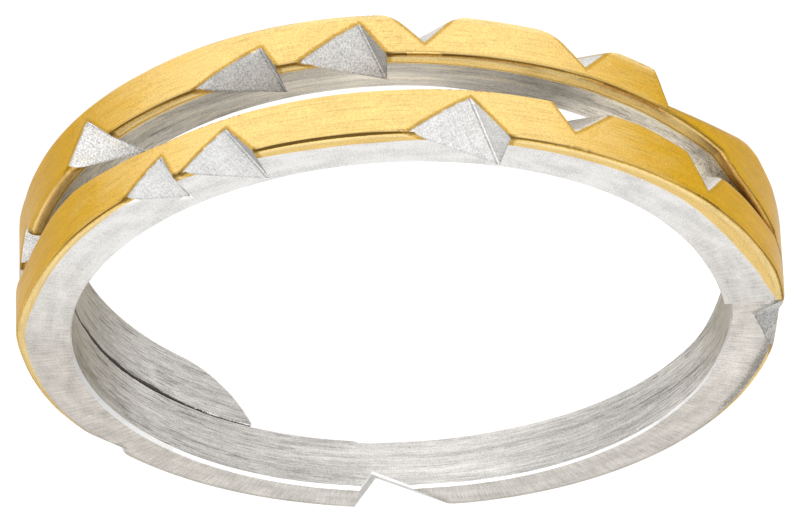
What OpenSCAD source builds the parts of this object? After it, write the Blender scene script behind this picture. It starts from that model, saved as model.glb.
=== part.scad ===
// Wrap ring in silver with a plated outside. One square-edged strip runs more
// than once and a half round the finger: the front strand starts at a square
// end on the right, crosses the decorated side, comes round the plain side as
// the shank, and crosses the decorated side again as the back strand, whose
// tapered tail is soldered behind the front strand on the left.
//
// The strip is wound round Z with its front face level and up, and the ring is
// then laid on its resting side, which is level only to within a few degrees.
// The decorated side faces -Y, and the axis of the finger hole meets the
// resting side at the origin. Angles go round the hole from the middle of the
// decorated side (-Y) towards +X, anticlockwise from above, and run past 360
// where the strip laps itself.

/* [Finger hole] */
// Diameter of the finger hole
bore_d = 17.8; // [15:0.1:22]
// Bevel at the rims of the finger hole
bore_bevel = 0.09; // [0.02:0.01:0.15]

/* [Strip] */
// Wall thickness of the strip at the middle of its run
wall = 1.33; // [1:0.01:2]
// How much the wall is thicker on the decorated side than at the middle
wall_shift = 0.14; // [0:0.01:0.3]
// Bevel where the outer wall meets the front face and the resting side
edge_bevel = 0.17; // [0.1:0.01:0.25]

/* [Height] */
// Height of the front face over the resting side, along the finger hole's axis
front_h = 3.21; // [2.9:0.01:4]
// Lean of the resting side against the front face, in degrees
lean = 2.9; // [0:0.1:4]
// Angle round the ring at which it stands highest
high_at = 38; // [0:1:90]

/* [Front strand] */
// Angle of the square end on the right
end_angle = -84; // [-88:1:-80]
// Angle on the plain side at which the front strand hands over to the shank
hand_over_angle = 176; // [172:1:180]

/* [Back strand] */
// Angle of the tip of the tail, more than one turn after the decorated middle
tail_angle = 511; // [505:1:515]

/* [Hidden] */
$fn = 180;

bore_r = bore_d / 2;
outer_r = bore_r + wall;
over = 0.3;         // how far a strand's blank reaches past the outer wall
inside_r = bore_r - 1;
tall = 6;           // taller than the ring anywhere
gap_h = 1.4;        // a height between the back strand and the front strand
mandrel_step = 0.015;  // how much wider the hole is below that height
section_step = 4;   // degrees between the sections of a strand
shank_start = 168;  // the shank's blank begins inside the front strand here

// Front strand: [angle, height of the strip under the front face]
front_width = [
    [-84, 1.13], [-70, 1.08], [-56, 1.13], [-46, 1.26], [-38, 1.38], [-21, 1.35],
    [-10, 1.37], [0, 1.34], [10, 1.32], [22, 1.27], [36, 1.17], [46, 1.25], [56, 1.40],
    [63, 1.34], [71, 1.18], [78, 1.14], [88, 1.45], [104, 1.67], [151, 1.59], [180, 1.57]
];

// Lower edge of the shank and the back strand: [angle, height over the resting side]
// Below zero the strip is cut off by the resting side.
back_low_edge = [
    [168, 1.7], [176, 1.27], [199, 1.13], [221, 1.10], [247, 1.11], [264, 0.74], [281, 0.28],
    [290, 0.06], [298, -0.5], [478, -0.5], [491, -0.2], [502, 0.12], [508, 0.66], [511, 1.3]
];

// Upper edge of the shank and the back strand: [angle, height over the resting side]
back_high_edge = [
    [168, 2.76], [180, 2.73], [227, 2.70], [245, 2.67], [264, 2.54], [274, 2.55], [284, 1.72],
    [298, 1.5], [303, 1.19], [330, 1.13], [360, 1.25], [405, 1.43], [444, 1.74], [448, 2.4],
    [464, 2.05], [491, 1.85], [511, 1.72]
];

// V notches: [from, to, valley at the outer wall, valley at the hole,
//             depth at the outer wall, depth at the hole]
// A negative depth says that the valley leaves through the face on its way in.
front_face_notches = [
    [-16.7, -2.3, -11.0, -17.8, 1.08, -0.08],
    [20.8, 31.9, 25.0, 21.4, 0.89, -0.03],
    [34.0, 43.2, 36.2, 34.9, 0.75, -0.25],
    [118.5, 129.7, 128.3, 126.5, 0.42, -1.10],
    [171.2, 187.0, 175.0, 173.6, 1.00, 0.49]
];
shank_face_notches = [[258.0, 272.5, 264.5, 272.0, 0.57, -0.44]];
back_face_notches = [
    [360.8, 373.8, 364.6, 359.8, 0.96, -0.27],
    [377.0, 390.3, 379.2, 377.1, 0.70, -0.17],
    [407.0, 418.0, 412.1, 406.0, 0.92, -0.07],
    [435.5, 444.0, 437.5, 434.5, 0.47, -0.10]
];
front_underside_notches = [
    [-32.9, -23.3, -26.8, -23.0, 0.81, 0],
    [-56.5, -47.6, -52.3, -48.5, 0.80, 0]
];
resting_side_notches = [
    [350.8, 360.0, 355.3, 358.5, 0.85, 0],
    [326.6, 336.1, 331.0, 335.0, 0.81, 0],
    [293.8, 318.3, 315.8, 318.0, 0.94, 0]
];

// A point of the ring, and the radius of its outer wall, at an angle round the hole
function at(r, angle, z) = [r * sin(angle), -r * cos(angle), z];
function wall_r(angle) = outer_r + wall_shift * cos(angle);

// Height of the resting side, and of the strands' edges, at an angle round the hole
function rest_z(angle, r) = -tan(lean) * r * cos(angle - high_at);
function front_low(angle) = front_h - lookup(angle, front_width);
function back_low(angle) = rest_z(angle, outer_r) + lookup(angle, back_low_edge);
function back_top(angle) = rest_z(angle, outer_r) + lookup(angle, back_high_edge);

function unit(v) = v / norm(v);
function across(v, axis) = v - (v * axis) * axis;

// One section of a strand, reaching into the finger hole and past the outer wall
function section(angle, low, high) = [
    at(inside_r, angle, low), at(wall_r(angle) + over, angle, low),
    at(wall_r(angle) + over, angle, high), at(inside_r, angle, high)
];

// A solid through sections that all have four corners
module lofted(sections) {
    last = len(sections) - 1;
    corners = 4;
    points = [for (s = sections) for (p = s) p];
    start_cap = [[for (k = [corners - 1:-1:0]) k]];
    end_cap = [[for (k = [0:corners - 1]) last * corners + k]];
    sides = [
        for (i = [0:last - 1]) for (k = [0:corners - 1])
        let (a = i * corners + k, b = i * corners + (k + 1) % corners)
        each [[a, b, a + corners], [b, b + corners, a + corners]]
    ];
    polyhedron(points, concat(start_cap, end_cap, sides), convexity = 8);
}

// Leans what lies level on the plane z = 0, so that it lies on the resting side
module leaning() {
    rotate(high_at) rotate([lean, 0, 0]) children();
}

// Solid disc that the front strand is cut from: eccentric outer wall and
// level front face, bevelled where they meet
module front_disc() {
    bevelled_r = outer_r - edge_bevel;
    translate([0, -wall_shift, 0]) intersection() {
        translate([0, 0, -1]) cylinder(r = outer_r, h = tall);
        translate([0, 0, front_h - tall]) cylinder(r1 = bevelled_r + tall, r2 = bevelled_r, h = tall);
    }
}

// Solid disc that the shank and the back strand are cut from: eccentric outer
// wall and leaning resting side, bevelled where they meet
module resting_disc() {
    bevelled_r = outer_r - edge_bevel;
    intersection() {
        translate([0, -wall_shift, -1]) cylinder(r = outer_r, h = tall);
        translate([0, -wall_shift, rest_z(0, wall_shift)]) leaning()
        cylinder(r1 = bevelled_r, r2 = bevelled_r + tall, h = tall);
    }
}

// Prism that cuts one V notch: its edge is the valley from the outer wall to
// the hole, and its two flanks pass through the notch's ends on the outer wall
module v_cutter(valley_out, valley_in, from_rim, to_rim) {
    reach = 2;
    widen = 1.3;
    w = unit(valley_in - valley_out);
    from_arm = across(from_rim - valley_out, w);
    to_arm = across(to_rim - valley_out, w);
    u = unit(from_arm);
    v = cross(w, u);
    o = valley_out - reach * w;
    multmatrix([
        [u[0], v[0], w[0], o[0]], [u[1], v[1], w[1], o[1]], [u[2], v[2], w[2], o[2]], [0, 0, 0, 1]
    ])
    linear_extrude(norm(valley_in - valley_out) + 2 * reach)
    polygon([[0, 0], widen * [norm(from_arm), 0], widen * [to_arm * u, to_arm * v]]);
}

// All V notches of one face: down is 1 where the notches go down from the face,
// and -1 where they go up into it
module notches(rows, face, down) {
    for (row = rows) {
        v_cutter(
            at(wall_r(row[2]), row[2], face(row[2]) - down * row[4]),
            at(bore_r, row[3], face(row[3]) - down * row[5]),
            at(wall_r(row[0]), row[0], face(row[0])),
            at(wall_r(row[1]), row[1], face(row[1]))
        );
    }
}

module front_strand() {
    turn = hand_over_angle - end_angle;
    steps = ceil(turn / section_step);
    difference() {
        intersection() {
            front_disc();
            lofted([
                for (i = [0:steps])
                let (angle = end_angle + i * turn / steps)
                section(angle, front_low(angle), tall)
            ]);
        }
        notches(front_face_notches, function(a) front_h, 1);
        notches(front_underside_notches, function(a) front_low(a), -1);
    }
}

module shank_and_back_strand() {
    turn = tail_angle - shank_start;
    steps = ceil(turn / section_step);
    difference() {
        intersection() {
            resting_disc();
            lofted([
                for (i = [0:steps])
                let (angle = shank_start + i * turn / steps)
                section(angle, back_low(angle), back_top(angle))
            ]);
        }
        notches(front_face_notches, function(a) front_h, 1);
        notches(shank_face_notches, function(a) back_top(a), 1);
        notches(back_face_notches, function(a) back_top(a), 1);
        notches(resting_side_notches, function(a) rest_z(a, outer_r), -1);
    }
}

// Cone that bevels a rim of the finger hole, opening upwards out of a face at z = 0
module rim_bevel() {
    b = bore_bevel;
    translate([0, 0, -3 * b]) cylinder(r1 = bore_r - 2 * b, r2 = bore_r + 2 * b, h = 4 * b);
}

// The hole is a hair wider through the back strand, as a tapered mandrel leaves it
module finger_hole() {
    translate([0, 0, gap_h]) cylinder(r = bore_r, h = tall);
    translate([0, 0, -1]) cylinder(r = bore_r + mandrel_step, h = gap_h + 1);
    leaning() mirror([0, 0, 1]) rim_bevel();
    translate([0, 0, front_h]) rim_bevel();
}

// The whole ring, tipped so that its resting side is level
module band() {
    color("silver") rotate(high_at) rotate([-lean, 0, 0]) rotate(-high_at) difference() {
        union() {
            front_strand();
            shank_and_back_strand();
        }
        finger_hole();
    }
}

band();
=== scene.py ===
from math import ceil, cos, pi, radians, sin, tan
import bpy
import numpy as np
from mathutils import Matrix, Vector


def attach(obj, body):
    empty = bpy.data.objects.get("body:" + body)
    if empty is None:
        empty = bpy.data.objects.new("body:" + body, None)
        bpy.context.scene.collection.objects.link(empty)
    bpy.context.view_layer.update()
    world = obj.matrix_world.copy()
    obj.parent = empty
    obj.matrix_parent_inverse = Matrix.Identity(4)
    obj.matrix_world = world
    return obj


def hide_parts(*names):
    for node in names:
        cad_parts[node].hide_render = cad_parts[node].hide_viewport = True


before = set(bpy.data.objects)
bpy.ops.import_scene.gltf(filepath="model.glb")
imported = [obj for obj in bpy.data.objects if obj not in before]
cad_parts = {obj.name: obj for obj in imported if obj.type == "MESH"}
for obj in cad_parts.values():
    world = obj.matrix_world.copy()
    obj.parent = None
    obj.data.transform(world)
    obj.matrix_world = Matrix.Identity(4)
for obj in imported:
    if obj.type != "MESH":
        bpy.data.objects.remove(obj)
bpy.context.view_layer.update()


# The strip. A square-edged strip of sterling silver, wound once and a half and a
# bit more round the finger and soldered to itself. Millimetres, with the finger
# hole along Z; angles run round the hole from the decorated side, anticlockwise.
BORE_R = 8.9
OUTER_R = 10.23
WALL_SHIFT = 0.14  # how much thicker the wall is on the decorated side
FRONT_H = 3.21  # height of the front face over the resting side
LEAN = 2.9  # of the resting side against the front face, in degrees
HIGH_AT = 38  # angle at which the ring stands highest
END_ANGLE = -84  # the square end
HAND_OVER = 176  # where the front strand hands over to the shank
HAND_OVER_RUN = 8  # degrees that the handing over takes
LOW_EDGE_LEAD = 6  # how much sooner the lower edge hands over
TAIL_ANGLE = 511  # the tip of the tail
TURN = 360
SOLDER_LAP = 0.004  # how far the strands lap where they are soldered
EASED_OVER = (-2, -1, 0, 1, 2)  # degrees to either side

# [angle, height of the strip under the front face]
FRONT_WIDTH = [
    [-84, 1.13], [-70, 1.08], [-56, 1.13], [-46, 1.26], [-38, 1.38], [-21, 1.35],
    [-10, 1.37], [0, 1.34], [10, 1.32], [22, 1.27], [36, 1.17], [46, 1.25], [56, 1.40],
    [63, 1.34], [71, 1.18], [78, 1.14], [88, 1.45], [104, 1.67], [151, 1.59], [180, 1.57],
]
# Lower and upper edge of the shank and the back strand: [angle, height over the resting side]
BACK_LOW_EDGE = [
    [168, 1.7], [176, 1.27], [199, 1.13], [221, 1.10], [247, 1.11], [264, 0.74], [281, 0.28],
    [290, 0.06], [298, -0.5], [478, -0.5], [491, -0.2], [502, 0.12], [508, 0.66], [511, 1.3],
    [514, 1.94],
]
BACK_HIGH_EDGE = [
    [168, 2.76], [180, 2.73], [227, 2.70], [245, 2.67], [264, 2.54], [274, 2.55], [284, 1.72],
    [298, 1.5], [303, 1.19], [330, 1.13], [360, 1.25], [405, 1.43], [444, 1.74], [448, 2.4],
    [464, 2.05], [491, 1.85], [511, 1.72],
]
# [angle, how far the outer wall stands out from a round one]
WALL_OUT = [
    [-84, 0.09], [-76, 0.10], [-67, 0.03], [-58, 0], [30, 0], [50, -0.03], [68, -0.03], [75, 0.01],
    [80, 0.08], [84, 0.14], [88, 0.16], [92, 0.13], [96, 0.10], [104, 0.07], [110, 0.06], [122, 0],
    [195, 0], [225, 0.03], [250, 0.05], [270, 0.09], [284, 0.10], [293, 0.03], [302, 0], [390, 0],
    [410, -0.03], [430, -0.04], [438, -0.03], [444, 0.04], [452, 0.08], [460, 0.05], [470, 0.05],
    [482, 0],
]
# [angle, how far the wall of the hole stands in]
HOLE_IN = [
    [-84, 0.20], [-70, 0.23], [-60, 0.18], [-46, 0.09], [-34, 0.03], [-22, 0], [0, 0], [20, 0.06],
    [50, 0.08], [62, 0.04], [75, 0],
]
# [angle, how far the back strand's gap side rises towards the hole]
INWARD_RISE = [
    [300, 0], [315, 0.08], [325, 0.15], [335, 0.17], [343, 0.13], [352, 0.07], [360, 0.05],
    [400, 0.05], [435, 0.03], [445, 0],
]


def along(table, angle):
    """A table's value at an angle round the ring."""
    angles, values = zip(*table)
    return np.interp(angle, angles, values)


def eased_along(table, angle):
    """As along, with the corners of the run eased over a few degrees."""
    return np.mean([along(table, angle + k) for k in EASED_OVER], axis=0)


def spot(r, angle, z):
    """A point, from its distance to the hole's axis, its angle and its height."""
    turn = np.radians(angle)
    return np.stack(np.broadcast_arrays(r * np.sin(turn), -r * np.cos(turn), z), -1)


def wall_r(angle):
    return OUTER_R + WALL_SHIFT * np.cos(np.radians(angle)) + along(WALL_OUT, angle)


def rest_z(angle, r):
    """Height of the resting side."""
    return -tan(radians(LEAN)) * r * np.cos(np.radians(angle - HIGH_AT))


def front_low(angle):
    """Height of the front strand's underside."""
    return FRONT_H - along(FRONT_WIDTH, angle)


def handed_over(angle, lead=0):
    """0 on the front strand, and 1 from the shank on."""
    return np.clip((angle - HAND_OVER + lead) / HAND_OVER_RUN, 0, 1)


def top_face(angle, r):
    """Height of the strip's upper edge: the front face, then the shank and the back strand."""
    rise = np.clip((OUTER_R - r) / (OUTER_R - BORE_R), 0, 1) * along(INWARD_RISE, angle)
    back = rest_z(angle, OUTER_R) + along(BACK_HIGH_EDGE, angle) + rise
    under_front = front_low(angle - TURN) + SOLDER_LAP
    back = np.where(angle > TURN + END_ANGLE, np.minimum(back, under_front), back)
    return FRONT_H + handed_over(angle) * (back - FRONT_H)


def bottom_face(angle, r):
    """Height of the strip's lower edge, which the resting side cuts off."""
    front, back = front_low(angle), rest_z(angle, OUTER_R) + eased_along(BACK_LOW_EDGE, angle)
    low = front + handed_over(angle, LOW_EDGE_LEAD) * (back - front)
    return np.maximum(low, np.where(angle > HAND_OVER, rest_z(angle, r), low))


# The notches. V cuts filed across the strip's edges after the plating, each with
# one steep and one shallow flank, so that their facets show the bare silver. Those
# on the resting side have worn down since.
# [from, to, valley at the outer wall, valley at the hole, depth outside, depth inside]
FRONT_NOTCHES = [
    [-16.7, -1.7, -11.0, -17.8, 1.08, -0.08], [20.8, 32.8, 25.0, 21.4, 0.89, -0.03],
    [34.2, 43.8, 36.2, 34.9, 0.75, -0.25], [118.5, 129.7, 128.3, 126.5, 0.42, -1.10],
    [171.2, 187.0, 175.0, 173.6, 1.00, 0.49],
]
GAP_NOTCHES = [
    [258.0, 272.5, 264.5, 272.0, 0.57, -0.44], [360.8, 373.8, 364.6, 359.8, 0.96, -0.27],
    [377.0, 390.3, 379.2, 377.1, 0.70, -0.17], [407.0, 418.0, 412.1, 406.0, 0.92, -0.07],
    [435.5, 444.0, 437.5, 434.5, 0.47, -0.10],
]
UNDER_NOTCHES = [[-56.5, -47.6, -52.3, -48.5, 0.80, 0], [-32.9, -23.3, -26.8, -23.0, 0.81, 0]]
REST_NOTCHES = [
    [293.8, 318.3, 315.8, 318.0, 0.94, 0], [326.6, 336.1, 331.0, 335.0, 0.81, 0],
    [350.8, 360.0, 355.3, 358.5, 0.85, 0],
]
CRISP = 0.0001  # over how much an edge of a new notch is eased
REST_WEAR = [0.1, 0.36, 0.36]  # the same, for the resting side's notches
CUT_REACH = 25  # degrees from its valley within which a notch cuts
SPREAD = 5  # degrees beside a notch in which the mesh's columns give way to it
NARROWEST = 0.12  # degrees kept between a notch's lines where they meet
OVERRUN = 1.1  # how far a flank's level line runs in, in wall thicknesses


class Notch:
    """One V cut: its two flank planes, and where its lines lie at any radius."""

    def __init__(self, row, side, face, ease=CRISP):
        self.start, self.end, self.valley, inner, deep_out, deep_in = row
        self.side, self.face, self.ease = side, face, ease
        self.out = self.corner(self.valley, wall_r(self.valley), deep_out)
        self.into = self.corner(inner, BORE_R, deep_in)
        rims = [self.corner(angle, wall_r(angle), 0) for angle in (self.start, self.end)]
        self.planes = [self.plane(rim) for rim in rims]
        tip = self.out + deep_out / (deep_out - min(deep_in, 0)) * (self.into - self.out)
        ends = [tip if deep_in <= 0 else self.level_end(*p) for p in zip(rims, self.planes)]
        self.lines = [(rims[0], ends[0]), (self.out, tip), (rims[1], ends[1])]

    def corner(self, angle, r, depth):
        return spot(r, angle, self.face(angle, r) - self.side * depth)

    def plane(self, rim):
        """The flank through the valley and one rim, as the a, b and c of z = a + bx + cy."""
        corners = np.array([self.out, self.into, rim])
        return np.linalg.solve(np.column_stack([np.ones(3), corners[:, :2]]), corners[:, 2])

    def level_end(self, rim, plane):
        """Where a flank's level line from the rim ends, a little past the hole's wall."""
        level = np.array([-plane[2], plane[1], 0])
        length = (OUTER_R - BORE_R) * OVERRUN / np.hypot(*plane[1:])
        return rim - level * np.sign(level @ rim) * length

    def angle_at(self, line, r):
        """The angle at which one of the notch's lines crosses a circle round the hole."""
        begin, end = line
        way = (end - begin)[:2]
        a, b = way @ way, begin[:2] @ way
        c = begin[:2] @ begin[:2] - r * r
        share = np.clip((-b - np.sqrt(np.maximum(b * b - a * c, 0))) / a, 0, 1)
        x, y = begin[0] + share * way[0], begin[1] + share * way[1]
        angle = np.degrees(np.arctan2(x, -y))
        return angle + TURN * np.round((self.valley - angle) / TURN)

    def flanks(self, p):
        """Heights of both flank planes over a point."""
        return [k[0] + k[1] * p[..., 0] + k[2] * p[..., 1] for k in self.planes]

    def near(self, angle, reach):
        return np.abs(angle - self.valley) < reach


top_notches = [Notch(row, 1, top_face) for row in FRONT_NOTCHES + GAP_NOTCHES]
bottom_notches = [Notch(row, -1, bottom_face) for row in UNDER_NOTCHES]
bottom_notches += [Notch(row, -1, bottom_face, wear) for row, wear in zip(REST_NOTCHES, REST_WEAR)]
all_notches = top_notches + bottom_notches


def reaches(notches):
    """How far along the strip each notch may pull the columns of the mesh."""
    limits = []
    for i, notch in enumerate(notches):
        before = notch.start - notches[i - 1].end if i else TURN
        after = notches[i + 1].start - notch.end if i + 1 < len(notches) else TURN
        limits.append((notch.start - min(SPREAD, before / 2), notch.end + min(SPREAD, after / 2)))
    return limits


def follow(notches, column, r):
    """The angle of a mesh column at a radius: it runs along the notches' lines."""
    angle = column
    for notch, (low, high) in zip(notches, reaches(notches)):
        start, valley, end = [notch.angle_at(line, r) for line in notch.lines]
        start = np.minimum(start, valley - NARROWEST)
        end = np.maximum(end, valley + NARROWEST)
        stops = [low, notch.start, notch.valley, notch.end, high]
        places = [low, start, valley, end, high]
        for k in range(len(stops) - 1):
            here = (column >= stops[k]) & (column <= stops[k + 1])
            share = (column - stops[k]) / (stops[k + 1] - stops[k])
            angle = np.where(here, places[k] + share * (places[k + 1] - places[k]), angle)
    return angle


def larger(a, b, ease):
    """The larger of two values, eased over where they cross."""
    share = np.clip(0.5 + 0.5 * (a - b) / ease, 0, 1)
    return b + (a - b) * share + ease * share * (1 - share)


def cut_height(angle, r, notches, face):
    """Height of the strip's edge with its notches cut."""
    height = face(angle, r)
    for n in notches:
        flanks = [n.side * z for z in n.flanks(spot(r, angle, 0))]
        cut = -larger(-n.side * height, -np.maximum(*flanks), n.ease)
        height = np.where(n.near(angle, CUT_REACH), n.side * cut, height)
    return height


# The rounded edges. Polishing has rolled the outer edges over, more at the left than
# elsewhere, and hardly at all round the notches, which were filed last, and at the solder.
NOTCH_ROUND = 0.06  # radius of the rolled edge round a notch
EDGE_ZONE = 0.42  # width of the wall and of the faces in which an edge is rolled
RAY = 2.0  # longer than any way out of that zone
HALVINGS = 26
# [angle, radius of the rolled edge]
TOP_ROUND = [
    [-84, 0.10], [100, 0.10], [115, 0.14], [125, 0.20], [165, 0.20], [190, 0.07], [274, 0.07],
    [276, 0.05], [283, 0.05], [287, 0.13], [440, 0.13], [446, 0.05], [511, 0.05],
]
LOW_ROUND = [
    [-84, 0.05], [-76, 0.05], [-72, 0.10], [78, 0.10], [84, 0.18], [92, 0.18], [100, 0.05],
    [151, 0.05], [156, 0.20], [300, 0.20], [318, 0.07], [348, 0.07], [365, 0.10], [385, 0.20],
    [400, 0.32], [430, 0.32], [445, 0.24],
]


def rolled(g_wall, g_face, cosine, radius):
    """Signed distance from a corner between the wall and a face, rolled over by a radius."""
    a, b = g_wall + radius, g_face + radius
    gap = np.sqrt(np.maximum(a * a + b * b - 2 * a * b * cosine, 0) / (1 - cosine**2))
    corner = (a > b * cosine) & (b > a * cosine)
    return np.where(corner, gap - radius, np.maximum(g_wall, g_face))


def climb(plane, angle):
    """How steeply a notch's flank rises away from the hole."""
    return plane[1] * np.sin(np.radians(angle)) - plane[2] * np.cos(np.radians(angle))


def normal_length(plane, climbing=0):
    """Length of a flank's upright normal, without the part of it that points away from the hole."""
    return np.sqrt(1 + plane[1] ** 2 + plane[2] ** 2 - climbing**2)


def beyond(angle, r, z, notches, face, side, rounds):
    """How far a point lies beyond the strip's wall and one of its cut edges."""
    p = spot(r, angle, z)
    g_wall = r - wall_r(angle)
    g_face = side * (z - face(angle, r))
    for n in [n for n in notches if n.ease > CRISP]:
        g_cut = np.minimum(*[side * (z - height) for height in n.flanks(p)])
        g_face = np.where(n.near(angle, CUT_REACH), larger(g_face, g_cut, n.ease), g_face)
    result = rolled(g_wall, g_face, 0, along(rounds, angle))
    for n in [n for n in notches if n.ease == CRISP]:
        flanks = []
        for plane, height in zip(n.planes, n.flanks(p)):
            long = normal_length(plane)
            cosine = -side * climb(plane, angle) / long
            flanks.append(rolled(g_wall, side * (z - height) / long, cosine, NOTCH_ROUND))
        cut = np.maximum(result, np.minimum(*flanks))
        result = np.where(n.near(angle, CUT_REACH), cut, result)
    return result


def surface(angle, r0, z0, dr, dz):
    """Where a ray in a section of the strip comes out of the rounded outside."""
    near, far = 0 * r0, 0 * r0 + RAY
    for _ in range(HALVINGS):
        mid = (near + far) / 2
        r, z = r0 + mid * dr, z0 + mid * dz
        top = beyond(angle, r, z, top_notches, top_face, 1, TOP_ROUND)
        low = beyond(angle, r, z, bottom_notches, bottom_face, -1, LOW_ROUND)
        outside = np.maximum(top, low) > 0
        near, far = np.where(outside, near, mid), np.where(outside, mid, far)
    return r0 + near * dr, z0 + near * dz


# The strip's mesh: closed sections side by side, with a column of the mesh along
# every line of a notch, so that all its facets meet in clean edges. The ring is
# then tipped, so that its resting side lies level on the floor.
COARSE = 1.0  # degrees between the mesh's columns
FINE = 0.4  # the same in a notch and up to a margin beside it
FINE_MARGIN = 1.5
FACE_ROWS = 12
ROLL_ROWS = 10
WALL_ROWS = 5
HOLE_ROWS = 8
BACK_BEVEL = 0.05  # of the lower edges, at the rim of the hole
STEP = 0.03  # degrees to either side of where the back strand steps down under the square end
HALF_WALL = 0.02  # least height of the wall, up and down from its middle
SHARP = 36  # degrees between two faces that make their edge a sharp one
MM = 0.001  # metres
# [angle, bevel at the rim of the hole]
HOLE_BEVEL = [
    [-84, 0.03], [84, 0.03], [100, 0.09], [172, 0.09], [190, 0.07], [250, 0.05], [275, 0.02],
    [511, 0.02],
]

keys = {END_ANGLE, TAIL_ANGLE, TURN + END_ANGLE - STEP, TURN + END_ANGLE + STEP}
for notch, (low, high) in zip(all_notches, reaches(top_notches) + reaches(bottom_notches)):
    keys |= {low, notch.start, notch.valley, notch.end, high}
keys = sorted(keys)
columns = []
for a, b in zip(keys, keys[1:]):
    middle = (a + b) / 2
    in_notch = any(n.start - FINE_MARGIN < middle < n.end + FINE_MARGIN for n in all_notches)
    steps = ceil((b - a) / (FINE if in_notch else COARSE))
    columns += [a + (b - a) * k / steps for k in range(steps)]
columns = np.array(columns + [TAIL_ANGLE])
wall = wall_r(columns)
zone_r = wall - EDGE_ZONE
bevel = along(HOLE_BEVEL, columns)
hole_r = BORE_R - along(HOLE_IN, columns)
top_out = cut_height(columns, wall, top_notches, top_face)
low_out = cut_height(columns, wall, bottom_notches, bottom_face)
half_way = (top_out + low_out) / 2
top_start = np.maximum(top_out - EDGE_ZONE, half_way + HALF_WALL)
low_start = np.minimum(low_out + EDGE_ZONE, half_way - HALF_WALL)
hole_top = follow(top_notches, columns, hole_r)
hole_low = follow(bottom_notches, columns, hole_r)
top_in = cut_height(hole_top, hole_r, top_notches, top_face) - bevel
low_in = cut_height(hole_low, hole_r, bottom_notches, bottom_face) + BACK_BEVEL

rows = []


def add_row(angle, r, z):
    rows.append(np.stack([angle, r, z], -1))


def add_face_row(share, notches, face):
    r = hole_r + bevel + share * (zone_r - hole_r - bevel)
    angle = follow(notches, columns, r)
    add_row(angle, r, cut_height(angle, r, notches, face))


def add_rolled_row(swing, notches, start, side):
    angle = follow(notches, columns, zone_r + EDGE_ZONE * sin(swing))
    add_row(angle, *surface(angle, zone_r, start, sin(swing), side * cos(swing)))


for k in range(FACE_ROWS):
    add_face_row(k / FACE_ROWS, top_notches, top_face)
for k in range(ROLL_ROWS + 1):
    add_rolled_row(pi / 2 * k / ROLL_ROWS, top_notches, top_start, 1)
for k in range(1, WALL_ROWS + 1):
    height = top_start + (low_start - top_start) * k / (WALL_ROWS + 1)
    add_row(columns, *surface(columns, zone_r, height, 1, 0))
for k in range(ROLL_ROWS, -1, -1):
    add_rolled_row(pi / 2 * k / ROLL_ROWS, bottom_notches, low_start, -1)
for k in range(FACE_ROWS - 1, -1, -1):
    add_face_row(k / FACE_ROWS, bottom_notches, bottom_face)
for k in range(HOLE_ROWS + 1):
    share = k / HOLE_ROWS
    add_row(hole_low + (hole_top - hole_low) * share, hole_r, low_in + (top_in - low_in) * share)

section = np.stack(rows, 1)
count, around = section.shape[:2]
mesh_angle, mesh_r, mesh_z = section[..., 0], section[..., 1], section[..., 2]
points = spot(mesh_r, mesh_angle, mesh_z).reshape(-1, 3)
tipping = Matrix.Rotation(radians(HIGH_AT), 3, "Z") @ Matrix.Rotation(radians(-LEAN), 3, "X")
tipping = tipping @ Matrix.Rotation(radians(-HIGH_AT), 3, "Z")
laid = points @ np.array(tipping).T * MM

i, j = np.meshgrid(np.arange(count - 1), np.arange(around), indexing="ij")
here, onward, next_j = i * around, (i + 1) * around, (j + 1) % around
quads = np.stack([here + j, here + next_j, onward + next_j, onward + j], -1).reshape(-1, 4)
first_cap = list(range(around))[::-1]
last_cap = [(count - 1) * around + k for k in range(around)]
strip_mesh = bpy.data.meshes.new("wrapped_strip")
strip_mesh.from_pydata(laid.tolist(), [], quads.tolist() + [first_cap, last_cap])
strip_mesh.validate()
for polygon in strip_mesh.polygons:
    polygon.use_smooth = True
strip_mesh.set_sharp_from_angle(angle=radians(SHARP))
strip = bpy.data.objects.new("wrapped_strip", strip_mesh)
bpy.context.scene.collection.objects.link(strip)


# The finish's places on the strip, kept on the corners of its mesh: bare facets,
# the wall of the hole, the gap side, the solder, and the way of the brush strokes.
TOP_END = FACE_ROWS + ROLL_ROWS
WALL_END = TOP_END + WALL_ROWS + 1
LOW_END = WALL_END + ROLL_ROWS + FACE_ROWS
FAR = 5.0  # too far from anything to show
CUT_DEPTH = 0.002  # depth under the strip's edge from which a face of the mesh counts as cut
RIM_REACH = 15  # degrees from its valley within which a notch's rim shows
STROKE_REACH = 14  # the same for the strokes of the file


def over_quad(values):
    """The mean of a value over the four corners of each face of the strip."""
    across = values[:-1] + values[1:]
    return (across + np.roll(across, -1, axis=1)) / 4


def on_corners(values):
    """A value of the mesh's points, given to the four corners of each of its faces."""
    flat = values.reshape(count * around, -1)
    return np.stack([flat[quads[:, k]] for k in range(4)], 1)


def on_faces(values):
    """A value of the mesh's faces, given to the four corners of each."""
    return np.repeat(values.reshape(-1, 1, 1).astype(float), 4, axis=1)


def store(name, values, at_caps=0):
    """Keeps a value, or three, on each corner of the strip's mesh, and one on its two caps."""
    parts = values.shape[-1]
    caps = np.full((2 * around, parts), at_caps)
    kind, field = ("FLOAT_VECTOR", "vector") if parts == 3 else ("FLOAT", "value")
    kept = strip_mesh.attributes.new(name, kind, "CORNER")
    kept.data.foreach_set(field, np.concatenate([values.reshape(-1, parts), caps]).ravel())


centre_angle, centre_r = over_quad(mesh_angle), over_quad(mesh_r)
row_of = np.broadcast_to(np.arange(around), centre_angle.shape)
on_top, on_low = row_of < TOP_END, (row_of >= WALL_END) & (row_of < LOW_END)
on_bevel = row_of == around - 1
on_hole = (row_of > LOW_END) & ~on_bevel
from_wall = wall_r(mesh_angle) - mesh_r
under_top = top_face(mesh_angle, mesh_r) - mesh_z
over_low = mesh_z - bottom_face(mesh_angle, mesh_r)


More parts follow.
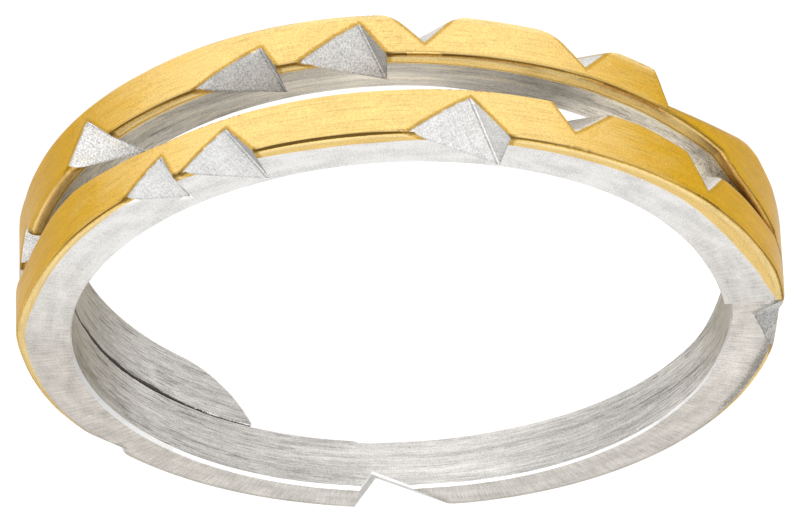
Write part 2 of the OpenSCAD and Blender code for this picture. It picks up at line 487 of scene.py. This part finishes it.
def filed_by(notch):
    """Which faces of the mesh a notch has laid bare."""
    flanks = [notch.side * z for z in notch.flanks(spot(centre_r, centre_angle, 0))]
    deep = notch.side * notch.face(centre_angle, centre_r) - np.maximum(*flanks) > CUT_DEPTH
    cut_side = on_top if notch.side > 0 else on_low
    return cut_side & deep & notch.near(centre_angle, CUT_REACH)


def off_notch(notches, on_wall=False):
    """How far each point lies from the nearest notch, straight or along the outer wall."""
    away = np.full(mesh_angle.shape, FAR)
    for n in notches:
        longs = [normal_length(plane, on_wall * climb(plane, mesh_angle)) for plane in n.planes]
        heights = n.flanks(spot(mesh_r, mesh_angle, mesh_z))
        under = np.minimum(*[n.side * (mesh_z - h) / long for h, long in zip(heights, longs)])
        away = np.where(n.near(mesh_angle, RIM_REACH), np.minimum(away, -under), away)
    return np.clip(away, 0, FAR)


def off_facet(notches):
    """How far inside the rolled rim of a notch each point lies, from the facet's edge."""
    return np.sqrt(2 * NOTCH_ROUND * np.clip(off_notch(notches), 0, 1))


# The gold's limits. The plating covers the outer wall and reaches over its edges, and
# the file has taken it off the facets of the notches.
WALL_GILT = 0.2  # how far inside the gold's limit the whole wall counts as lying
FACET_RIM = 0.035  # how far from the facet's edge the gold on its rolled rim ends
# [angle, how far the gold reaches in from the outer wall]
GILT_WIDTH = [
    [-85, 0.18], [-78, 0.45], [-68, 0.57], [-60, 0.55], [-48, 0.42], [-20, 0.37], [-4, 0.36],
    [2, 0.44], [12, 0.46], [19, 0.38], [43, 0.16], [53, 0.23], [75, 0.27], [90, 0.24], [96, 0.20],
    [103, 0.18], [115, 0.13], [128, 0.06], [140, -0.01], [235, 0.01], [241, 0.09], [270, 0.11],
    [276, 0.16], [284, 0.24], [296, 0.32], [312, 0.46], [345, 0.48], [355, 0.44], [361, 0.38],
    [374, 0.32], [400, 0.32], [418, 0.38], [440, 0.38],
]
facet_top = np.any([filed_by(notch) for notch in top_notches], axis=0)
facet_low = np.any([filed_by(notch) for notch in bottom_notches], axis=0)
facets = on_faces(facet_top | facet_low)
off_top_facet = on_corners(off_facet(top_notches))
off_low_facet = on_corners(off_facet(bottom_notches))
gilt_facet = np.where(on_faces(facet_top), off_top_facet, off_low_facet) - FACET_RIM
gilt_plain = along(GILT_WIDTH, mesh_angle) - from_wall + np.minimum(under_top, over_low)
gilt_plain[:, TOP_END:WALL_END + 1] = WALL_GILT
store("gilt", np.where(facets > 0, gilt_facet, on_corners(gilt_plain)), -1)
store("facet", facets)
store("hole", on_faces(on_hole))

# The lines along the gold's edges: the crease where the wall meets the front face or the gap side,
# the foot of the wall, the rims of the notches and the tops of their facets. The crease and the
# foot carry painted shade and painted highlights.
FOOT_FROM = 280  # angle from which the wall's foot is on the resting side
# [angle, how dark the painted shade line along the crease is]
CREASED = [
    [-84, 0.3], [-20, 0.35], [0, 0.5], [4, 1], [18, 1], [21, 0.4], [44, 0.3], [60, 0.3], [74, 0.1],
    [95, 0], [240, 0], [275, 0], [280, 0.3], [330, 0.3], [358, 0.45], [364, 0.5], [395, 0.45],
    [412, 0.25], [430, 0.1],
]
off_crease = from_wall - under_top
off_rim = np.minimum(off_notch(top_notches, on_wall=True), off_notch(bottom_notches, on_wall=True))
store("crease", on_corners(off_crease), FAR)
store("foot", on_corners(np.where(mesh_angle > FOOT_FROM, over_low - from_wall, FAR)), FAR)
store("rim", on_corners(off_rim), FAR)
store("creased", on_corners(along(CREASED, mesh_angle)))
store("depth", np.where(on_faces(facet_top) > 0, on_corners(np.abs(under_top)), FAR), FAR)

# The strokes. The brush went round the ring, and the file went across it, along each notch's
# valley, where it left a groove. The facets get painted shade, each notch and each flank its own.
UP = [0, 0, 1]
RIGHT_FLANK_SHADE = 0.82  # how bright the right flank is beside the left one
# Painted shade: how bright the facets of each notch are, in the order of the notches
FACET_SHADE = [0.95, 0.68, 0.67, 0.8, 0.8, 0.85, 0.70, 0.55, 0.96, 0.95, 1.1, 1.1, 1.0, 1.0, 1.0]
place = on_corners(points)
brushed = on_corners(np.stack([np.radians(mesh_angle) * OUTER_R, mesh_r, mesh_z], -1))
off_groove = np.full(facets.shape, FAR)
painted_light_and_shade = np.ones(facets.shape)
for number, (notch, grey) in enumerate(zip(all_notches, FACET_SHADE)):
    way = (notch.into - notch.out) / np.linalg.norm(notch.into - notch.out)
    right = np.cross(way, UP)
    level = right / np.linalg.norm(right)
    over = np.cross(level, way)
    filed_stroke = np.stack([place @ way, place @ level, place @ over + number], -1)
    stroked = (facets > 0) & notch.near(centre_angle.reshape(-1, 1, 1), STROKE_REACH)
    brushed = np.where(stroked, filed_stroke, brushed)
    off = place - notch.out
    off = off - (off @ way)[..., None] * way
    flank = np.sign(off @ right)[..., None]
    own = on_faces(filed_by(notch)) > 0
    off_groove = np.where(own, flank * np.linalg.norm(off, axis=-1, keepdims=True), off_groove)
    # Painted shade: the right flank darker than the left
    flank_shade = np.where(flank.mean(1, keepdims=True) < 0, RIGHT_FLANK_SHADE, 1)
    painted_light_and_shade = np.where(own, grey * flank_shade, painted_light_and_shade)
store("stroke", brushed)
store("groove", off_groove, FAR)

# The gap side, between the strands, and the plain side, whose edge is duller. A stain lies on that
# edge, at the right end of the gap, and on the facets of the notch there. The gap side gets painted
# light and shade, and the bevel at the rim of the hole a painted highlight.
GAP_FROM, GAP_TO = 276, 452
BEVEL_FROM, BEVEL_TO = 90, 258  # where the bevel at the rim of the hole is brighter
BEVEL_HIGHLIGHT = 1.06
FACING = 5  # angle from which the ring turns aside, fully so a quarter turn on
STAIN_AT, STAIN_FADE = 0.20, 0.20  # from the crease
STAINED_FACET = 0.72
# [angle, how bright the gap side is: painted light where the strands shade its end, and painted
# shade in a dark band after it]
GAP_LIGHT_AND_SHADE = [
    [276, 1.3], [300, 1.5], [315, 1.55], [325, 1.25], [334, 0.58], [340, 0.64], [348, 0.75],
    [354, 1.0], [368, 1.06], [385, 0.84], [398, 0.90], [420, 1.0], [445, 1.05], [452, 1],
]
# [angle, how much the plain side's edge is duller]
PLAIN_SIDE = [
    [-84, 0.6], [-66, 0.35], [-40, 0.05], [0, 0], [60, 0.1], [80, 0.6], [95, 1], [130, 1],
    [160, 0.75], [200, 0.75], [235, 0.95], [276, 0.95], [290, 0],
]
# [angle, how stained it is]
STAINED = [[236, 0], [242, 1.0], [250, 1.1], [266, 1.1], [275, 1.0], [279, 0]]
# Painted highlight on the bevel at the rim of the hole, on the plain side
plain_bevel = on_bevel & (centre_angle > BEVEL_FROM) & (centre_angle < BEVEL_TO)
painted_light_and_shade = np.where(on_faces(plain_bevel), BEVEL_HIGHLIGHT, painted_light_and_shade)
on_gap = on_top & (centre_angle > GAP_FROM) & (centre_angle < GAP_TO)
gap_light_and_shade = on_faces(along(GAP_LIGHT_AND_SHADE, centre_angle))
painted_light_and_shade = np.where(on_faces(on_gap & ~facet_top), gap_light_and_shade, painted_light_and_shade)
stain_fade = np.exp(-(((off_crease - STAIN_AT) / STAIN_FADE) ** 2)) * along(STAINED, mesh_angle)
stained = on_corners(stain_fade) * on_faces(on_top & ~facet_top)
stained_notch = top_notches[len(FRONT_NOTCHES)]
store("tone", painted_light_and_shade, 1)
store("gap", on_faces(on_gap))
store("plain", on_faces(np.where(on_bevel, 0, along(PLAIN_SIDE, centre_angle))))
store("stain", stained + STAINED_FACET * on_faces(filed_by(stained_notch)))
# How far the ring turns aside; it sets the painted shade at the ring's sides, in the gold wall and
# in the hole
store("aside", on_corners(np.abs(np.sin(np.radians(mesh_angle - FACING)))))

# The solder line, where the strands touch at the square end and at the tail.
LAPPED_FROM = 270  # angle past which the strip runs beside the front strand
# [angle, how far the line is from showing]
SOLDERED = [
    [END_ANGLE, 0], [-77, 0], [-74, FAR], [80, FAR], [84, 0.03], [96, 0.0], [113, -0.035],
    [128, -0.035], [139, 0.015], [153, 0.035], [158, 0.4], [175, FAR],
]
front_angle = np.where(mesh_angle > LAPPED_FROM, mesh_angle - TURN, mesh_angle)
to_seam = np.abs(mesh_z - front_low(front_angle)) + along(SOLDERED, front_angle)
store("seam", on_corners(to_seam), FAR)


# The metal. Sterling silver, brushed and then satin-blasted, with a gold plating on
# the outer wall and over its edges; the strands' joint shows as a dark line of solder.
SILVER = (0.95, 0.94, 0.925)
PLAIN_SILVER = (0.71, 0.67, 0.62)
FACET_SILVER = (0.90, 0.895, 0.885)
HOLE_SILVER = (0.74, 0.72, 0.69)
# Painted shade: the hole's wall towards the ring's sides
MID_SHADE_HOLE_SILVER = (0.565, 0.545, 0.52)
SIDE_SHADE_HOLE_SILVER = (0.36, 0.345, 0.32)
GAP_SILVER = (0.60, 0.55, 0.47)
STAIN = (0.25, 0.235, 0.21)
GOLD = (1.0, 0.70, 0.26)
# Painted shade for the gold wall towards the ring's sides
SIDE_SHADE_GOLD = (0.61, 0.345, 0.014)
# Painted highlight for the gold beside the crease and along the wall's foot
HIGHLIGHT_GOLD = (1.0, 0.80, 0.42)
OCHRE = (0.50, 0.28, 0.02)
# Painted shade and painted dark reflection, for the crease line and the notches' corners
CREASE_SHADE_BROWN = (0.12, 0.065, 0.012)
SOLDER = (0.055, 0.047, 0.042)
GLANCE_TINT = (0.85, 0.80, 0.70, 1)  # of what the metal mirrors at a glancing angle
SCRATCH_DEPTH = 0.0000035  # metres
# Noise of each kind: its scales along the brush's way and both ways across it, its detail
BRUSH = ((0.9, 34, 34), 3)
NICKS = ((0.9, 34, 34), 4)
SCRATCH = ((0.35, 14, 14), 3)
SATIN = ((23, 23, 23), 4)
CLOUD = ((0.9, 2.5, 2.5), 3)
PATCH = ((0.35, 0.35, 0.35), 2)
SMEAR = ((0.16, 2.2, 2.2), 3)
CROSS = ((22, 1.6, 1.6), 3)
# Millimetres from an edge to where its line begins to fade, and to where it is gone
GILT_FADE = 0.02
SOLDER_LINE = (0.01, 0.05)
CORNER_RIM = (0.05, 0.25)
CORNER_CREASE = (0.04, 0.15)
OCHRE_RIM = (0.06, 0.14)
FOOT_HIGHLIGHT = (0.07, 0.22)
FACET_EDGE = (0.01, 0.04)
# Millimetres from an edge to a line beside it, and the line's fading as above
UNDER_LINE = (0.03, 0.02, 0.06)
GILT_LIMIT = (0.04, 0.01, 0.04)
CREASE_HIGHLIGHT_LINE = (0.15, 0.03, 0.09)
VALLEY_HIGHLIGHT_LINE = (0, 0.01, 0.03)
BESIDE_VALLEY_SHADE = (0.05, 0.01, 0.045)


class Tone:
    """A value or colour in a material, so that its maths reads as plain expressions."""

    def __init__(self, finish, socket):
        self.finish = finish
        self.socket = socket

    def maths(self, operation, a, b=0):
        return self.finish.add("ShaderNodeMath", {"operation": operation}, {0: a, 1: b})

    def __abs__(self):
        return self.maths("ABSOLUTE", self)

    def __or__(self, other):
        return self.maths("MAXIMUM", self, other)

    def __add__(self, other):
        return self.maths("ADD", self, other)

    def __sub__(self, other):
        return self.maths("SUBTRACT", self, other)

    def __rsub__(self, other):
        return self.maths("SUBTRACT", other, self)

    def __mul__(self, other):
        return self.maths("MULTIPLY", self, other)

    __radd__ = __add__
    __rmul__ = __mul__


class Finish:
    """A material being made: every node but the maths comes from its add method."""

    def __init__(self, owner, shader):
        owner.use_nodes = True
        self.tree = owner.node_tree
        self.shader = self.tree.nodes[shader]

    def fill(self, node, sockets):
        """Gives a node's sockets their values or links."""
        for name, value in sockets.items():
            if isinstance(value, Tone):
                self.tree.links.new(value.socket, node.inputs[name])
            else:
                node.inputs[name].default_value = value

    def add(self, kind, settings, sockets, out=0):
        node = self.tree.nodes.new(kind)
        for name, value in settings.items():
            setattr(node, name, value)
        self.fill(node, sockets)
        return Tone(self, node.outputs[out])

    def kept(self, name, out="Fac"):
        return self.add("ShaderNodeAttribute", {"attribute_name": name}, {}, out)

    def ramp(self, value, low, high):
        """0 below low, 1 above high, and smooth between them."""
        settings = {"interpolation_type": "SMOOTHSTEP"}
        return self.add("ShaderNodeMapRange", settings, {"Value": value, 1: low, 2: high})

    def within(self, value, low, high):
        """1 below low, 0 above high, and smooth between them."""
        return 1 - self.ramp(value, low, high)

    def line(self, value, at, low, high):
        """A line where a value is at a mark, which fades from low to high away from it."""
        return self.within(abs(value - at), low, high)

    def blend(self, share, a, b):
        """Colour a, turning into colour b."""
        a, b = [c if isinstance(c, Tone) else (*c, 1) for c in (a, b)]
        return self.add("ShaderNodeMix", {"data_type": "RGBA"}, {0: share, 6: a, 7: b}, 2)

    def shade(self, colour, value):
        """A colour made darker or lighter by a value."""
        grey = self.add("ShaderNodeCombineColor", {}, {0: value, 1: value, 2: value})
        settings = {"data_type": "RGBA", "blend_type": "MULTIPLY"}
        return self.add("ShaderNodeMix", settings, {0: 1, 6: colour, 7: grey}, 2)

    def grain(self, place, stretch, detail):
        """Noise around nought, drawn out by the three scales given for the brush's way."""
        spread = {"operation": "MULTIPLY"}
        where = self.add("ShaderNodeVectorMath", spread, {0: place, 1: stretch})
        sockets = {"Vector": where, "Scale": 1, "Detail": detail}
        return self.add("ShaderNodeTexNoise", {}, sockets) - 0.5


metal = bpy.data.materials.new("gilded_silver")
finish = Finish(metal, "Principled BSDF")
facet, hole, gap = finish.kept("facet"), finish.kept("hole"), finish.kept("gap")
crease, creased, rim = finish.kept("crease"), finish.kept("creased"), finish.kept("rim")
aside, gilt, plain = finish.kept("aside"), finish.kept("gilt"), finish.kept("plain")
groove, stroke = finish.kept("groove"), finish.kept("stroke", "Vector")
brush, nicks = finish.grain(stroke, *BRUSH), finish.grain(stroke, *NICKS)
scratch, satin = finish.grain(stroke, *SCRATCH), finish.grain(stroke, *SATIN)
cloud, patch = finish.grain(stroke, *CLOUD), finish.grain(stroke, *PATCH)
smear, cross = finish.grain(stroke, *SMEAR), finish.grain(stroke, *CROSS)

# Where the gold lies, with a few flecks left on the gap side, and where the solder shows.
edge_wander = (satin * 0.05 + scratch * 0.06) * (1 - 0.7 * facet)
plated = finish.ramp(gilt + edge_wander, -GILT_FADE, GILT_FADE)
filed = facet * (1 - plated)
fleck = finish.ramp(scratch + satin * 0.3, 0.1, 0.2) * gap * 0.22
solder = finish.within(finish.kept("seam") + cloud * 0.15 + satin * 0.08, *SOLDER_LINE)

# Painted shade and painted highlights along the gold's edges: a dark line of painted shade and
# painted dark reflection along the crease, painted shade in the corners by the notches, an ochre
# line under the crease, ochre lines round the notches' rims and at the gold's limit in the gap, and
# painted highlights beside the crease and along the wall's foot.
wobble = scratch * 0.04 + satin * 0.03
breadth = creased * 0.05
painted_crease_shade = finish.line(crease + wobble, 0, breadth, 0.03 + breadth)
painted_crease_shade = painted_crease_shade * finish.ramp(creased + patch + scratch * 0.7, -0.1, 0.6)
# Painted shade, in patches, in the corners where a notch's rim meets the crease
corner = finish.within(rim + wobble * 3, *CORNER_RIM)
corner = corner * finish.within(abs(crease) + wobble * 3, *CORNER_CREASE)
corner = corner * finish.ramp(patch + satin * 0.4, -0.08, 0.06) * 0.8
# An ochre line under the crease, part of its painted dark reflection
under_line = finish.line(crease + wobble, *UNDER_LINE) * finish.ramp(creased, 0.05, 0.3)
gilt_limit = finish.line(gilt + wobble, *GILT_LIMIT) * gap
ochre = finish.within(rim + wobble, *OCHRE_RIM) | under_line | gilt_limit
# Painted highlights: a bright line beside the crease, and a pale one along the wall's foot
bright = finish.line(crease + wobble, *CREASE_HIGHLIGHT_LINE)
foot_highlight = finish.within(finish.kept("foot") + wobble, *FOOT_HIGHLIGHT)

# The bare silver's colours: duller on the plain side, in the hole and in the gap, with painted
# shade darkening the hole's wall towards the ring's sides, and stained.
stain = finish.kept("stain") * 0.8 + satin * 2.2 + patch * 0.7 + cross
shaded_hole = finish.blend(finish.ramp(aside, 0.1, 0.65), HOLE_SILVER, MID_SHADE_HOLE_SILVER)
shaded_hole = finish.blend(finish.ramp(aside, 0.84, 1.0), shaded_hole, SIDE_SHADE_HOLE_SILVER)
bare = finish.blend(plain, SILVER, PLAIN_SILVER)
bare = finish.blend(facet, bare, FACET_SILVER)
bare = finish.blend(hole, bare, shaded_hole)
bare = finish.blend(gap * (1 - facet), bare, GAP_SILVER)
bare = finish.blend(finish.ramp(stain, 0.5, 0.75) * 0.85, bare, STAIN)

# The gold's colours: painted shade deepening the wall towards the ring's sides, and along its edges
# painted highlights (pale), ochre lines and a painted shade line (brown).
on_wall = finish.within(crease, -0.08, 0.06)
gold = finish.blend(finish.ramp(aside + cloud * 0.3, 0.35, 0.85) * on_wall, GOLD, SIDE_SHADE_GOLD)
gold = finish.blend((bright | foot_highlight) * 0.55, gold, HIGHLIGHT_GOLD)
gold = finish.blend(ochre * 0.68, gold, OCHRE)
gold = finish.blend((painted_crease_shade | corner) * 0.92, gold, CREASE_SHADE_BROWN)

# How the brush, the blasting, the file and wear have darkened and lightened both metals, together
# with painted shade and light: nicks darker in the hole and gap towards the ring's sides, the
# valleys' painted highlight and shade, and the tone kept on the mesh, which holds the facets'
# painted shade, the gap side's painted light and shade and the bevel's painted highlight.
lined = hole | (gap * (1 - facet) * (1 - plated))
flat = 1 - (lined | facet | plated)
streak = brush * 1.1 + scratch * 0.45
nick = finish.ramp(nicks, 0.01, 0.12)
speckle = satin * (0.8 + filed * (0.3 + 0.7 * gap)) + cloud * (0.3 + 0.35 * flat)
smudge = smear * (lined * 1.5 - hole)
# Painted highlight along each notch's valley, and painted shade on the facets beside it
cut = finish.line(groove, *VALLEY_HIGHLIGHT_LINE) * 0.2 - finish.line(groove, *BESIDE_VALLEY_SHADE) * 0.3
facet_edge = finish.within(finish.kept("depth") + wobble * 0.5, *FACET_EDGE)
wear = 1 + streak * (0.3 + lined * 1.2 - 0.15 * flat + 0.3 * filed)
# Painted shade: the nicks darken the hole and the gap more towards the ring's sides
wear = wear - nick * (0.06 + lined * (0.28 + 0.5 * aside) + 0.16 * plated + 0.15 * filed)
wear = wear + speckle + smudge + (cut - facet_edge * 0.2) * (1 - plated)
wear = wear + cross * 0.9 * (filed * 0.4 + flat * (0.3 + 0.7 * plain))
# Painted light and shade from the tone kept on the mesh, on the bare silver
wear = wear * (plated + finish.kept("tone") * (1 - plated))

colour = finish.shade(finish.blend(plated | fleck, bare, gold), wear)
relief = brush * 0.6 + scratch * 0.5 + satin * 0.5 - solder * 2
scratches = {"Strength": 1, "Distance": SCRATCH_DEPTH, "Height": relief}
finish.fill(finish.shader, {
    "Base Color": finish.blend(solder, colour, SOLDER),
    "Metallic": 1 - solder * 0.8 - filed * 0.35,
    "Roughness": 0.34 + scratch * 0.2 + satin * 0.12 + solder * 0.4 + 0.2 * filed,
    "Normal": finish.add("ShaderNodeBump", {}, scratches),
    "Specular Tint": GLANCE_TINT,
})
strip_mesh.materials.append(metal)
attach(strip, "root")
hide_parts("band")


# The floor: a plain pale sheet of paper under the ring, lit through from below as on
# a light table, so that no shadow shows on it.
SHEET_HALF = 2  # metres
PAPER = {
    "Base Color": (0.12, 0.12, 0.12, 1), "Roughness": 0.9,
    "Emission Color": (1, 1, 1, 1), "Emission Strength": 1.0,
}
ends = (-SHEET_HALF, SHEET_HALF)
floor_mesh = bpy.data.meshes.new("floor")
floor_mesh.from_pydata([(x, y, 0) for y in ends for x in ends], [], [(0, 1, 3, 2)])
floor = bpy.data.objects.new("floor", floor_mesh)
bpy.context.scene.collection.objects.link(floor)
paper = bpy.data.materials.new("pale_paper")
paper_finish = Finish(paper, "Principled BSDF")
paper_finish.fill(paper_finish.shader, PAPER)
floor_mesh.materials.append(paper)


# The light: a soft bright room, brighter overhead than at the sides, and one wide
# soft box above the ring's front.
HIGH_ROOM, LOW_ROOM = 1.15, 0.55  # how bright it is overhead and at the sides
BRIGHTENS_FROM, BRIGHTENS_TO = 0.25, 0.7  # sines of the heights between which it brightens
BOX_PLACE = Vector((0, -0.45, 0.55))
BOX_WIDE, BOX_HIGH = 0.6, 0.25
BOX_POWER = 1.2  # watts
world = bpy.data.worlds.new("studio")
bpy.context.scene.world = world
room = Finish(world, "Background")
sky_way = room.add("ShaderNodeTexCoord", {}, {}, "Generated")
sky_height = room.add("ShaderNodeSeparateXYZ", {}, {0: sky_way}, "Z")
overhead = room.ramp(sky_height, BRIGHTENS_FROM, BRIGHTENS_TO)
room_strength = LOW_ROOM + (HIGH_ROOM - LOW_ROOM) * overhead
room.fill(room.shader, {"Color": (1, 1, 1, 1), "Strength": room_strength})
lamp = bpy.data.lights.new("soft_box", "AREA")
lamp.shape = "RECTANGLE"
lamp.size, lamp.size_y = BOX_WIDE, BOX_HIGH
lamp.energy = BOX_POWER
box = bpy.data.objects.new("soft_box", lamp)
box.location = BOX_PLACE
box.rotation_euler = (-BOX_PLACE).to_track_quat("-Z", "Y").to_euler()
bpy.context.scene.collection.objects.link(box)
bpy.context.scene.view_settings.view_transform = "Standard"


# The camera: the photograph's angle to the ring, over the decorated side and above
# the floor, with its picture turned by half a turn. Its place, in millimetres, and its
# directions are given for the ring before it is tipped.
LENS_PIXELS = 6999  # focal length, in the picture's pixels
PICTURE_W = 800
SENSOR = 36
NEAREST = 0.01
CAMERA_PLACE = Vector((0, -163.975, 96.311))
CAMERA_RIGHT = Vector((-0.999387, 0.017560, 0.030287))
CAMERA_UP = Vector((-0.035009, -0.502530, -0.863849))
camera_data = bpy.data.cameras.new("camera")
camera_data.sensor_width = SENSOR
camera_data.lens = SENSOR * LENS_PIXELS / PICTURE_W
camera_data.clip_start = NEAREST
camera = bpy.data.objects.new("camera", camera_data)
bpy.context.scene.collection.objects.link(camera)
right, up = tipping @ CAMERA_RIGHT, tipping @ CAMERA_UP
turned = Matrix((right, up, right.cross(up))).transposed().to_4x4()
camera.matrix_world = Matrix.Translation(tipping @ CAMERA_PLACE * MM) @ turned
bpy.context.scene.camera = camera
